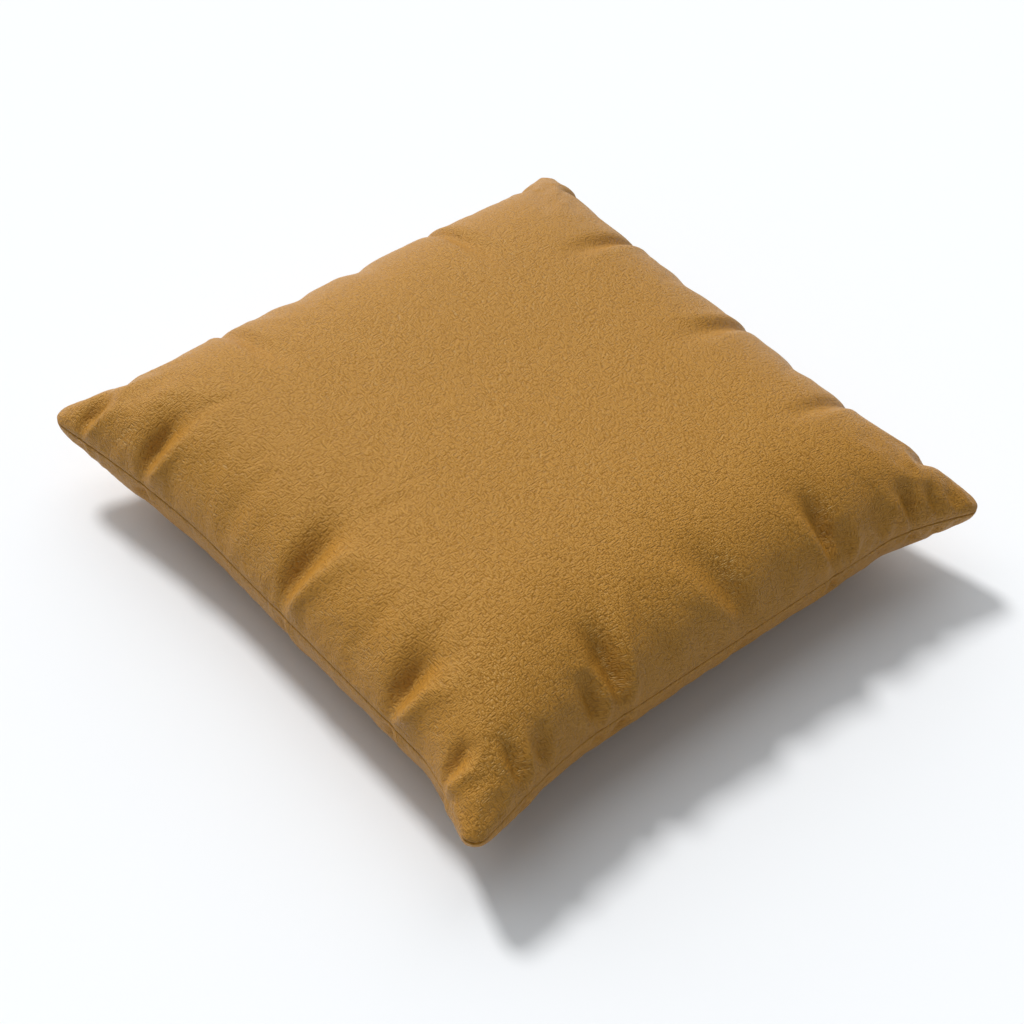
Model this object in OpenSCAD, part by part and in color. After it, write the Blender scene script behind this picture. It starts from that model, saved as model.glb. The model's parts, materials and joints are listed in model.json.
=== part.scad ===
// Square throw cushion: a zip-off cover of two cloth panels over a fibre-filled insert.
// The cushion lies flat on Z = 0 with its sides along X and Y. The zip is in the rear side seam (+Y).
// Every soft layer is a closed solid of its own, nested inside the one that holds it.

/* [Cushion] */
// Side of the stuffed cushion, from corner to corner
side = 440; // [400:5:500]
// Height of the side seams above the surface that the cushion lies on
seam_height = 58; // [50:1:66]
// Rise of the crown above the side seams
crown_rise = 60; // [54:1:70]
// How far the middle of each side pulls in from the line between its corners
seam_inset = 18; // [8:1:20]
// Length of a corner's ear, over which the seam curves in
ear_length = 120; // [80:5:140]
// Droop of the corner tips below the side seams
corner_drop = 5; // [0:1:8]

/* [Cover] */
// Thickness of the pile cloth
cover_cloth = 1.1; // [0.8:0.1:1.4]
// Width of the seam allowance inside the cover
cover_allowance = 12; // [10:1:14]
// Thickness of the sewing and overlocking thread
thread = 0.5; // [0.3:0.1:0.6]

/* [Zip] */
// Length of the toothed chain, as a share of the cushion's side
zip_share = 0.66; // [0.54:0.02:0.66]
// Distance from one tooth of a coil to the next
tooth_pitch = 1.2; // [1.0:0.1:1.6]
// Length of the slider's body
slider_length = 9; // [8:1:12]
// Length of the pull tab, from its crossbar's axis to its end
pull_length = 21; // [16:1:26]

/* [Insert] */
// Thickness of the insert's plain cloth
insert_cloth = 0.5; // [0.4:0.1:0.8]
// Width of the seam allowance inside the insert
insert_allowance = 6; // [5:1:8]
// Gap from the cover's side seam to the insert's side seam
insert_gap = 17; // [17:1:24]

/* [Hidden] */

// The sides, in order round the seam
FRONT = 0;
RIGHT = 1;
REAR = 2;
LEFT = 3;

// Places along a side, as shares of its length: close together at the ears and at the ends of the zip
side_places = [0, 0.02, 0.045, 0.07, 0.1, 0.14, 0.2, 0.28, 0.39, 0.5,
               0.61, 0.72, 0.8, 0.86, 0.9, 0.93, 0.955, 0.98];
// Rings of a panel, as shares of the way from its centre to its seam
panel_rings = [0.25, 0.45, 0.62, 0.75, 0.85, 0.92, 0.965, 0.988];
half_width = side / 2 - seam_inset;
tip_trim = 3.5;         // the rounding of a corner tip
tip_width = 0.02 * side;
zip_ear = 0.14 * side;  // the ear beside the zip is shorter, because the zip keeps its seam straight
ear_curve = 1.5;        // 1 runs straight from the tip, and more bends it in sooner
closed_to = 0.07;       // the share of the rear side where its seam is closed, at each end
open_from = 0.1;        // the share where its seam is fully open to the zip
crown_power = 5;        // a higher power makes a flatter crown
crown_blunt = 0.5;      // a lower power makes a steeper side
crown_dome = 0.18;      // the share of the crown's rise that goes on rising to the middle
base_power = 7;
base_blunt = 0.45;
hair = 0.05;            // half the gap between cloths that lie on each other
thread_clear = 0.15;    // gap between a thread and the cloth that it lies on
stitch_inset = 3.4;     // from the seam line in to the stitches that close the cover
insert_stitch = 2.4;    // the same on the insert
overlock_r = 0.6;

// The zip's cross-section: out is measured from the seam line, negative towards the inside
lip_gap = 0.8;          // half the gap between the two folds that hide the zip
chamber = 3.3;          // half the height of the space behind the folds
fold_depth = 2 * cover_cloth;
seam_y = half_width;
seam_z = seam_height;
coil_depth = 1.6;
coil_face = fold_depth + 1.6; // how far behind the seam line the coils' outer face is
coil_out = -coil_face - coil_depth;
tooth_width = 0.5;
tooth_reach = 0.6;      // how far a tooth passes the middle of the chain
coil_back = 1.85;       // half the height of the closed chain
coil_spine = 0.6;
tape_over = 7;          // tape past each end of the chain
tape_thick = 0.35;
stop_length = 2.6;
pull_axis_out = 2.7;
crossbar_r = 0.5;
eye_r = 0.58;
neck_half = 0.55;
zip_length = zip_share * side;
slider_x = -zip_length / 2 + slider_length / 2 + 0.5;

function smooth(x) = x <= 0 ? 0 : x >= 1 ? 1 : x * x * (3 - 2 * x);
function clamp01(x) = max(0, min(1, x));

// ---- the seam line ----

// A place on the seam is [side, share of the side's length]
all_places = [for (s = [FRONT:LEFT]) for (f = side_places) [s, f]];

function on_square(p) =
    let (t = 2 * p[1] - 1)
    p[0] == FRONT ? [t, -1] : p[0] == RIGHT ? [1, t] : p[0] == REAR ? [-t, 1] : [-1, -t];
function inward(s) = s == FRONT ? [0, 1] : s == RIGHT ? [-1, 0] : s == REAR ? [0, -1] : [1, 0];
function from_corner(p) = min(p[1], 1 - p[1]) * side;
function ear(p) = p[0] == REAR ? zip_ear : ear_length;
function settled(p) = 1 - pow(1 - clamp01((from_corner(p) - tip_width) / (ear(p) - tip_width)), ear_curve);
function rim(p) =
    on_square(p) * (side / 2 - (p[1] == 0 ? tip_trim : 0)) + inward(p[0]) * seam_inset * settled(p);
function droop(p) = corner_drop * (1 - smooth(from_corner(p) / (0.8 * ear(p))));
// 1 beside the zip and 0 past its ends
function beside_zip(p) =
    p[0] != REAR ? 0 : clamp01((from_corner(p) / side - closed_to) / (open_from - closed_to));
function scale_for(inset) = 1 - inset / half_width;

// ---- the soft surfaces ----

// A layer is [plan scale, rise of its crown, depth of its base, lowest height]
function layer(inset, under) =
    [scale_for(inset), crown_rise - under, seam_height - under / 2 + 4, under];
cover_out = layer(0, 0);
cover_in = layer(cover_cloth, cover_cloth);
insert_out = layer(insert_gap, cover_cloth + 2 * hair);
insert_in = layer(insert_gap + insert_cloth, cover_cloth + insert_cloth + 2 * hair);
fill_out = layer(insert_gap + insert_allowance + 2, cover_cloth + insert_cloth + 4 * hair);

function dome(a, power, blunt) = pow(max(0, 1 - pow(abs(a), power)), blunt);
// Two domes at right angles, fuller towards the corners than their product
function both(a, b) = a * b == 0 ? 0 : 1 / sqrt(1 / (a * a) + 1 / (b * b) - 1);
function swell(p, r, up) =
    let (q = on_square(p) * r)
    up > 0
        ? (1 - crown_dome) * both(dome(q[0], crown_power, crown_blunt), dome(q[1], crown_power, crown_blunt))
            + crown_dome * dome(q[0], 2, 1) * dome(q[1], 2, 1)
        : both(dome(q[0], base_power, base_blunt), dome(q[1], base_power, base_blunt));
function surface_point(l, up, p, r) =
    let (xy = rim(p) * l[0] * r, mid = seam_height - droop(p) * pow(r, 4))
    [xy[0], xy[1], max(l[3], mid + up * (up > 0 ? l[1] : l[2]) * swell(p, r, up))];
function surface_ring(l, up, r) = [for (p = all_places) surface_point(l, up, p, r)];
function surface_pole(l, up) = [0, 0, max(l[3], seam_height + up * (up > 0 ? l[1] : l[2]))];

// A ring that follows the seam line, inset from a layer's rim, at a height above or below the seam
function edge_point(l, up, p, inset, height) =
    let (xy = rim(p) * (l[0] - inset / half_width))
    [xy[0], xy[1], seam_height - droop(p) + up * height];

// A closed solid through rings of points that start and end in a pole
module ring_solid(first, rings, last, flip = false) {
    n = len(rings[0]);
    points = concat([first], [for (ring = rings) for (p = ring) p], [last]);
    end = len(points) - 1;
    function at(i, j) = 1 + i * n + j % n;
    faces = concat(
        [for (j = [0:n - 1]) [0, at(0, j + 1), at(0, j)]],
        [for (i = [0:len(rings) - 2]) for (j = [0:n - 1]) [at(i, j), at(i, j + 1), at(i + 1, j + 1)]],
        [for (i = [0:len(rings) - 2]) for (j = [0:n - 1]) [at(i, j), at(i + 1, j + 1), at(i + 1, j)]],
        [for (j = [0:n - 1]) [end, at(len(rings) - 1, j), at(len(rings) - 1, j + 1)]]);
    turned = [for (f = faces) flip ? [f[2], f[1], f[0]] : f];
    polyhedron(points, turned, convexity = 6);
}

function backwards(list) = [for (i = [len(list) - 1:-1:0]) list[i]];

// A panel of cloth with its seam allowance turned in: out over the crown, round the fold, in along the
// allowance and back under the crown
module panel(outside, inside, up, cloth, allowance, zipped) {
    function w(p) = zipped ? beside_zip(p) : 0;
    function lip(p) = hair + w(p) * (lip_gap - hair);
    function shelf(p) = hair + w(p) * (chamber - hair);
    function fold(p) = 0.6 * cloth + w(p) * (fold_depth - 0.6 * cloth);
    function ring(inset, height) =
        [for (i = [0:len(all_places) - 1]) edge_point(outside, up, all_places[i], inset[i], height[i])];
    function all_round(value) = [for (p = all_places) value];
    lips = [for (p = all_places) lip(p)];
    shelves = [for (p = all_places) shelf(p)];
    tops = [for (p = all_places) shelf(p) + cloth];
    rings = concat(
        [for (r = panel_rings) surface_ring(outside, up, r)],
        [ring(all_round(0), lips)],
        [ring([for (p = all_places) fold(p)], lips)],
        [ring([for (p = all_places) fold(p) + 0.3], shelves)],
        [ring(all_round(allowance), shelves)],
        [ring(all_round(allowance), tops)],
        [ring([for (p = all_places) 1.4 * cloth + 1.2 * w(p)], tops)],
        [for (r = backwards(panel_rings)) surface_ring(inside, up, r)]);
    ring_solid(surface_pole(outside, up), rings, surface_pole(inside, up), up < 0);
}

module top_panel() {
    color("#b98a42") panel(cover_out, cover_in, 1, cover_cloth, cover_allowance, true);
}

module bottom_panel() {
    color("#b08238") panel(cover_out, cover_in, -1, cover_cloth, cover_allowance, true);
}

module insert_top_panel() {
    color("#efece4") panel(insert_out, insert_in, 1, insert_cloth, insert_allowance, false);
}

module insert_bottom_panel() {
    color("#e9e6de") panel(insert_out, insert_in, -1, insert_cloth, insert_allowance, false);
}

// The filling is one soft mass that takes the insert's shape
module fibre_fill() {
    rings = concat(
        [for (r = panel_rings) surface_ring(fill_out, 1, r)],
        [surface_ring(fill_out, 1, 1)],
        [for (r = backwards(panel_rings)) surface_ring(fill_out, -1, r)]);
    color("#fbfbf9") ring_solid(surface_pole(fill_out, 1), rings, surface_pole(fill_out, -1));
}

// ---- threads ----

// A straight-edged tube through a list of points, with its section across each point's two neighbours
module tube(path, r, sides = 6) {
    n = len(path);
    function along(i) = path[min(n - 1, i + 1)] - path[max(0, i - 1)];
    function across(i) = let (d = along(i), c = [d[1], -d[0], 0]) c / norm(c);
    function upward(i) = let (c = cross(across(i), along(i))) c / norm(c);
    function corner(i, a) = path[i] + r * (cos(a) * across(i) + sin(a) * upward(i));
    points = [for (i = [0:n - 1]) for (k = [0:sides - 1]) corner(i, 360 * k / sides)];
    faces = concat(
        [[for (k = [0:sides - 1]) k]],
        [for (i = [0:n - 2]) for (k = [0:sides - 1])
            let (a = i * sides + k, b = i * sides + (k + 1) % sides) [a, a + sides, b + sides, b]],
        [[for (k = [sides - 1:-1:0]) (n - 1) * sides + k]]);
    polyhedron(points, faces, convexity = 4);
}

function places_between(s, low, high) =
    [for (f = concat(side_places, [1])) if (f >= low && f <= high) f == 1 ? [(s + 1) % 4, 0] : [s, f]];

// The needle thread above the allowances and the bobbin thread below them, along part of one side
module seam_run(s, low, high) {
    run = places_between(s, low, high);
    for (up = [-1, 1]) {
        tube([for (p = run) edge_point(cover_out, up, p, stitch_inset,
            hair + beside_zip(p) * (chamber - hair) + cover_cloth + thread / 2 + thread_clear)], thread / 2);
    }
}

module seam_thread_front() { color("#a87a30") seam_run(FRONT, 0.02, 0.98); }
module seam_thread_right() { color("#a87a30") seam_run(RIGHT, 0.02, 0.98); }
module seam_thread_left() { color("#a87a30") seam_run(LEFT, 0.02, 0.98); }
module seam_thread_rear() {
    color("#a87a30") {
        seam_run(REAR, 0.02, closed_to);
        seam_run(REAR, 1 - closed_to, 0.98);
    }
}

module insert_seam_thread() {
    color("#f4f2ec")
        for (s = [FRONT:LEFT])
            for (up = [-1, 1])
                tube([for (p = places_between(s, 0.02, 0.98)) edge_point(insert_out, up, p, insert_stitch,
                    hair + insert_cloth + thread / 2 + thread_clear)], thread / 2);
}

// Overlocking round the raw edges of both allowances, along the three sides that have no zip
module overlock_sides() {
    color("#a87a30")
        for (s = [FRONT, RIGHT, LEFT])
            tube([for (p = places_between(s, 0.05, 0.95)) edge_point(cover_out, 1, p,
                cover_allowance + 1.5 * overlock_r, 0)], overlock_r);
}

// Beside the zip each allowance is overlocked by itself
module overlock_zip(up) {
    run = zip_length + tape_over;
    high = cover_cloth + 2 * hair;
    color("#a87a30")
        translate([0, seam_y - cover_allowance - overlock_r, seam_z + up * (chamber + high / 2)])
            cube([run, 1.5 * overlock_r, high], center = true);
}

module overlock_zip_upper() { overlock_zip(1); }
module overlock_zip_lower() { overlock_zip(-1); }

// ---- the zip ----

// A cross-section in [out, height above the seam plane], drawn along the zip from one x to another
module along_zip(low, high) {
    translate([low, seam_y, seam_z]) rotate([90, 0, 90]) linear_extrude(high - low) children();
}

module zip_tape(up) {
    tape_low = coil_back + 0.1; // where it backs its coil
    tape_far = chamber - 0.1;   // where it lies under its allowance
    tape_edge = -14;
    color("#9a7434")
        along_zip(-zip_length / 2 - tape_over, zip_length / 2 + tape_over)
            scale([1, up]) polygon([
                [-coil_face, tape_low], [-7.2, tape_low],
                [-9.2, tape_far - tape_thick], [tape_edge, tape_far - tape_thick],
                [tape_edge, tape_far], [-9.1, tape_far],
                [-7.1, tape_low + tape_thick], [-coil_face, tape_low + tape_thick]]);
}

module zip_tape_upper() { zip_tape(1); }
module zip_tape_lower() { zip_tape(-1); }

// One side of the chain: a spine with a row of teeth that pass between the other side's teeth
module zip_coil(up) {
    count = floor(zip_length / tooth_pitch) - 1;
    start = -zip_length / 2 + (up > 0 ? 0 : tooth_pitch / 2);
    spine_low = coil_back - coil_spine;
    comb = concat(
        [[-zip_length / 2 - 1, coil_back], [-zip_length / 2 - 1, spine_low]],
        [for (i = [0:count - 1]) let (x = start + i * tooth_pitch)
            each [[x, spine_low], [x, -tooth_reach],
                [x + tooth_width, -tooth_reach], [x + tooth_width, spine_low]]],
        [[zip_length / 2, spine_low], [zip_length / 2, coil_back]]);
    color("#8a6426")
        translate([0, seam_y - coil_face, seam_z])
            rotate([90, 0, 0]) linear_extrude(coil_depth) scale([1, up]) polygon(comb);
}

module zip_coil_upper() { zip_coil(1); }
module zip_coil_lower() { zip_coil(-1); }

// Two small clips, one round the edge of each tape, just past the closed end of the chain
module zip_top_stops() {
    x = -zip_length / 2 - 1.1 - stop_length;
    low = coil_back + 0.1 - hair;
    high = low + tape_thick + 2 * hair;
    color("#b8b4a8")
        along_zip(x, x + stop_length)
            for (up = [-1, 1])
                translate([-coil_face, 0]) scale([1, up]) polygon([
                    [0.4, low - 0.8], [-2, low - 0.8], [-2, low], [hair, low],
                    [hair, high], [-2, high], [-2, high + 0.35], [0.4, high + 0.35]]);
}

// One clip across both coils at the other end
module zip_bottom_stop() {
    x = zip_length / 2 + 0.1;
    half = coil_back + 0.05;
    color("#b8b4a8")
        along_zip(x, x + stop_length)
            polygon([[-coil_face + 0.3, -half], [coil_out - 0.3, -half],
                [coil_out - 0.3, half], [-coil_face + 0.3, half]]);
}

// Lines of thread that hold a tape to its allowance: one above and one below the two cloths
module zip_stitching(up) {
    run = zip_length + tape_over;
    above = chamber + cover_cloth + thread / 2 + hair;
    below = chamber - 0.1 - tape_thick - thread / 2 - hair;
    color("#a87a30")
        for (height = [above, below])
            translate([-run / 2, seam_y - 10.5, seam_z + up * height])
                rotate([0, 90, 0]) cylinder(h = run, r = thread / 2, $fn = 24);
}

module zip_stitching_upper() { zip_stitching(1); }
module zip_stitching_lower() { zip_stitching(-1); }

// The slider: a channel over the chain, and a neck that passes out between the folds to the pull's eye
module zip_slider() {
    plate_in = -coil_face + 0.35;
    plate_out = plate_in + 0.6;
    flange_low = 2.5;
    flange_high = 3.0;
    flange_end = coil_out - 0.8;
    neck_length = 4;
    neck_out = 1; // from here the neck narrows to its eye
    eye_rim = 1.5;
    color("#c9b27a")
        difference() {
            union() {
                along_zip(slider_x - slider_length / 2, slider_x + slider_length / 2)
                    polygon([
                        [plate_out, -flange_high + 0.5], [plate_out, flange_high - 0.5],
                        [plate_out - 0.5, flange_high], [flange_end, flange_high], [flange_end, flange_low],
                        [plate_in, flange_low], [plate_in, -flange_low], [flange_end, -flange_low],
                        [flange_end, -flange_high], [plate_out - 0.5, -flange_high]]);
                translate([slider_x, seam_y, seam_z - neck_half]) linear_extrude(2 * neck_half) union() {
                    translate([-neck_length / 2, plate_out - 0.3]) square([neck_length, 1.4 - plate_out]);
                    polygon([[-neck_length / 2, neck_out], [neck_length / 2, neck_out],
                        [eye_rim - 0.1, pull_axis_out], [0.1 - eye_rim, pull_axis_out]]);
                    translate([0, pull_axis_out]) circle(r = eye_rim, $fn = 48);
                }
            }
            translate([slider_x, seam_y + pull_axis_out, seam_z - 2])
                cylinder(h = 4, r = eye_r, $fn = 48);
        }
}

// The pull tab: a flat drop that forks at its narrow end, with a crossbar between the fork's arms
module zip_pull() {
    plate = 1.1;
    wide_r = 3.6;
    narrow_r = 2.3;
    reach = pull_length - wide_r;
    lean = asin((wide_r - narrow_r) / reach);
    fork_half = 0.95;
    color("#c9b27a")
        translate([slider_x, seam_y + pull_axis_out, seam_z]) union() {
            rotate([90, 0, 0]) translate([0, 0, -plate / 2]) linear_extrude(plate) difference() {
                union() {
                    circle(r = narrow_r, $fn = 48);
                    translate([reach, 0]) circle(r = wide_r, $fn = 64);
                    polygon([for (side_of = [1, -1]) for (end_of = side_of > 0 ? [0, 1] : [1, 0])
                        let (r = end_of == 0 ? narrow_r : wide_r)
                        [end_of * reach - r * sin(lean), side_of * r * cos(lean)]]);
                }
                translate([-narrow_r - 1, -fork_half]) square([narrow_r + 3, 2 * fork_half]);
            }
            translate([0, 0, -1.5]) cylinder(h = 3, r = crossbar_r, $fn = 48);
        }
}

// ---- labels ----

// A ribbon sewn under the lower allowance, which hangs down between the cover and the insert
module care_label() {
    width = 30;
    hang = 28;
    ribbon = 0.4;
    top = -hair - cover_cloth - thread - 3 * hair;
    color("#f2efe6")
        translate([-half_width, 70 + width, seam_z]) rotate([90, 0, 0]) linear_extrude(width)
            polygon([[5, top], [12.9, top], [13.3, top - 0.4], [13.3, top - hang],
                [12.9, top - hang], [12.9, top - ribbon], [5, top - ribbon]]);
}

// The insert's own label, sewn to the inside of its seam
module insert_label() {
    width = 40;
    hang = 22;
    ribbon = 0.3;
    x = half_width * insert_out[0];
    top = -hair - insert_cloth - thread - 3 * hair;
    color("#fafafa")
        translate([x, 60, seam_z]) rotate([90, 0, 0]) linear_extrude(width)
            polygon([[-3, top], [-6.7, top], [-7.1, top - 0.4], [-7.1, top - hang],
                [-6.8, top - hang], [-6.8, top - 0.4 - ribbon], [-6.6, top - ribbon], [-3, top - ribbon]]);
}

top_panel();
bottom_panel();
seam_thread_front();
seam_thread_right();
seam_thread_left();
seam_thread_rear();
overlock_sides();
overlock_zip_upper();
overlock_zip_lower();
zip_tape_upper();
zip_tape_lower();
zip_stitching_upper();
zip_stitching_lower();
zip_coil_upper();
zip_coil_lower();
zip_top_stops();
zip_bottom_stop();
zip_slider();
zip_pull();
care_label();
insert_top_panel();
insert_bottom_panel();
insert_seam_thread();
insert_label();
fibre_fill();
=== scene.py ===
import json
import math
import bpy
import numpy as np
from mathutils import Matrix, Vector, noise
from mathutils.bvhtree import BVHTree


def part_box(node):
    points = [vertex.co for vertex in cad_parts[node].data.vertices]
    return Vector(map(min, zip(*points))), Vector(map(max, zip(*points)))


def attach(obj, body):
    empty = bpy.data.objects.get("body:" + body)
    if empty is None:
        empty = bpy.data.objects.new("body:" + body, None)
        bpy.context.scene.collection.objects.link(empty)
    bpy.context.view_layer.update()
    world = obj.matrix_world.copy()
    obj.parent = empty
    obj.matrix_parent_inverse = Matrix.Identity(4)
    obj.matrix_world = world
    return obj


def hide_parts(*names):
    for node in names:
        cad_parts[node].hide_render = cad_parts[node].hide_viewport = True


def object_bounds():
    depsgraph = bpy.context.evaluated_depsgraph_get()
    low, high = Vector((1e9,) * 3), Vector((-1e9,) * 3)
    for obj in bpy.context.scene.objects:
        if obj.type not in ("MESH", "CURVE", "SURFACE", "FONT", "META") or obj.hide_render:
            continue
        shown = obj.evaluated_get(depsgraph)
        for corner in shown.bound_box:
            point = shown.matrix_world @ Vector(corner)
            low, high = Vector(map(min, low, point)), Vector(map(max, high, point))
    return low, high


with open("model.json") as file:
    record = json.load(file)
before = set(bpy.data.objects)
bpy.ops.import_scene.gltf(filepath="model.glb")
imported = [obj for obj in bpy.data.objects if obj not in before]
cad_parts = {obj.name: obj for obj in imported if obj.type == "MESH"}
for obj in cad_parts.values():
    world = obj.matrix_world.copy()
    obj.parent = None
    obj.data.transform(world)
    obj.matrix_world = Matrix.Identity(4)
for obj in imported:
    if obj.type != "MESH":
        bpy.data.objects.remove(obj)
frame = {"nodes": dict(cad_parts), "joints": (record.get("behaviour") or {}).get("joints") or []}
cadLow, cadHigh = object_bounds()

# ---- places that come from the frame ----

halfSide = cadHigh.x
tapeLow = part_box("zip_tape_lower")[1].z
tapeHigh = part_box("zip_tape_upper")[0].z
seamZ = (tapeLow + tapeHigh) / 2
pullJoint = next(joint for joint in frame["joints"] if joint["name"] == "pull_hinge")
pullStandOff = 0.0027  # from the rear seam out to the pull's crossbar
halfMiddle = pullJoint["pos_m"][1] - pullStandOff  # from the centre to the seam at mid side

# ---- camera, light and floor ----

view = dict(pitch=46.2, yaw=-43.9, roll=4.8, distance=1.377, aim=(-0.0291, -0.0305, 0.053), lens=74.5)
# Each lamp is (power, height and side in degrees, softness in degrees); side 0 is behind the zip
studio = dict(key=(2.15, 52, 2, 12), fill=(1.6, 46, 16, 90), skyPower=0.27, skyColour=(0.90, 0.96, 1, 1),
              floor=(0.85, 0.86, 0.875))


def makeCamera():
    pitch, yaw, roll = (math.radians(view[name]) for name in ("pitch", "yaw", "roll"))
    back = Vector((math.sin(yaw) * math.cos(pitch), -math.cos(yaw) * math.cos(pitch), math.sin(pitch)))
    level = Vector((0, 0, 1)).cross(back).normalized()
    upright = back.cross(level)
    right = level * math.cos(roll) + upright * math.sin(roll)
    top = upright * math.cos(roll) - level * math.sin(roll)
    lens = bpy.data.cameras.new("camera")
    lens.lens = view["lens"]
    lens.clip_end = 20
    camera = bpy.data.objects.new("camera", lens)
    bpy.context.collection.objects.link(camera)
    turned = Matrix((right, top, back)).transposed().to_4x4()
    camera.matrix_world = Matrix.Translation(Vector(view["aim"]) + back * view["distance"]) @ turned
    bpy.context.scene.camera = camera


def makeLamp(name):
    power, height, side, softness = studio[name]
    sun = bpy.data.lights.new(name, "SUN")
    sun.energy = power
    sun.angle = math.radians(softness)
    lamp = bpy.data.objects.new(name, sun)
    bpy.context.collection.objects.link(lamp)
    height, side = math.radians(height), math.radians(side)
    level = math.cos(height)
    towards = Vector((math.sin(side) * level, math.cos(side) * level, math.sin(height)))
    lamp.rotation_euler = towards.to_track_quat("Z", "Y").to_euler()


def makeSky():
    world = bpy.data.worlds.new("sky")
    bpy.context.scene.world = world
    world.use_nodes = True
    world.node_tree.nodes["Background"].inputs["Strength"].default_value = studio["skyPower"]
    world.node_tree.nodes["Background"].inputs["Color"].default_value = studio["skyColour"]


makeCamera()
makeLamp("key")
makeLamp("fill")
makeSky()
bpy.context.scene.view_settings.view_transform = "Standard"
print("camera and light are set")

# ---- shader helpers ----


class Wire:
    # one output socket: sums written on it become Math nodes
    def __init__(self, paint, socket):
        self.paint = paint
        self.socket = socket

    def sum(self, operation, first, second):
        return self.paint.node("ShaderNodeMath", dict(operation=operation), [first, second])

    def __add__(self, other):
        return self.sum("ADD", self, other)

    def __radd__(self, other):
        return self.sum("ADD", other, self)

    def __sub__(self, other):
        return self.sum("SUBTRACT", self, other)

    def __rsub__(self, other):
        return self.sum("SUBTRACT", other, self)

    def __mul__(self, other):
        return self.sum("MULTIPLY", self, other)

    def __rmul__(self, other):
        return self.sum("MULTIPLY", other, self)

    def __pow__(self, other):
        return self.sum("POWER", self, other)

    def __rpow__(self, other):
        return self.sum("POWER", other, self)


class Paint:
    # one material, and the one way that its nodes are made
    def __init__(self, name, **surface):
        self.material = bpy.data.materials.new(name)
        self.material.use_nodes = True
        self.tree = self.material.node_tree
        self.surface = self.tree.nodes["Principled BSDF"]
        for key, value in surface.items():
            self.surface.inputs[key].default_value = value

    def node(self, kind, settings=None, inputs=(), output=0):
        made = self.tree.nodes.new(kind)
        for key, value in (settings or {}).items():
            if key == "stops":
                ramp = made.color_ramp.elements
                while len(ramp) < len(value):
                    ramp.new(1)
                for stop, (place, colour) in zip(ramp, value):
                    stop.position = place
                    stop.color = colour
            else:
                setattr(made, key, value)
        for key, value in inputs.items() if isinstance(inputs, dict) else enumerate(inputs):
            self.join(value, made.inputs[key])
        return Wire(self, made.outputs[output])

    def join(self, value, socket):
        if isinstance(value, Wire):
            self.tree.links.new(value.socket, socket)
        else:
            socket.default_value = value

    def feed(self, name, value):
        self.join(value, self.surface.inputs[name])

    def place(self, name=None):
        if name:
            return self.node("ShaderNodeAttribute", dict(attribute_name=name), output="Vector")
        return self.node("ShaderNodeTexCoord", output="Object")

    def scaled(self, place, times):
        return self.node("ShaderNodeVectorMath", dict(operation="MULTIPLY"), [place, times])

    def grain(self, place, times, detail=2.0, rough=0.5):
        settings = dict(noise_dimensions="3D")
        values = dict(Vector=self.scaled(place, times), Scale=1.0, Detail=detail, Roughness=rough)
        return self.node("ShaderNodeTexNoise", settings, values, output="Fac")

    def between(self, value, low, high):
        values = {"Value": value, "From Min": low, "From Max": high}
        return self.node("ShaderNodeMapRange", dict(interpolation_type="SMOOTHSTEP"), values)

    def blend(self, factor, first, second, kind="MIX"):
        settings = dict(data_type="RGBA", blend_type=kind, clamp_factor=True)
        return self.node("ShaderNodeMix", settings, {0: factor, 6: first, 7: second}, output=2)

    def choose(self, factor, first, second):
        return self.node("ShaderNodeMix", dict(data_type="FLOAT"), {0: factor, 2: first, 3: second})

    def raiseBy(self, height, distance, strength=1.0):
        values = dict(Height=height, Distance=distance, Strength=strength)
        self.feed("Normal", self.node("ShaderNodeBump", inputs=values, output="Normal"))


def shade(piece, paint):
    piece.data.materials.clear()
    piece.data.materials.append(paint.material)


def tufts(paint, place, wide, long):
    # short raised strokes that lie square to the cloth's edges, with a crease between one and the next
    settings = dict(voronoi_dimensions="2D", feature="F1", distance="CHEBYCHEV")
    values = dict(Vector=paint.scaled(place, (1 / wide, 1 / long, 1)), Scale=1.0, Randomness=0.8)
    fromMiddle = paint.node("ShaderNodeTexVoronoi", settings, values, output="Distance")
    return 1 - paint.between(fromMiddle, 0.15, 0.85)


# ---- materials ----

# Sizes of the strokes, of the patches that share a direction and of the fuzz, then colours from a crease
# to the tip of a stroke: painted shade in the crease, the middle tone, and a painted highlight on the tip
pile = dict(thread=0.00115, stroke=0.0031, patch=0.0022, fuzz=0.0006, deep=(0.25, 0.097, 0.0080, 1),
            middle=(0.410, 0.180, 0.0215, 1), light=(0.56, 0.275, 0.043, 1), contrast=0.5, lift=0.0009)


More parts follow.
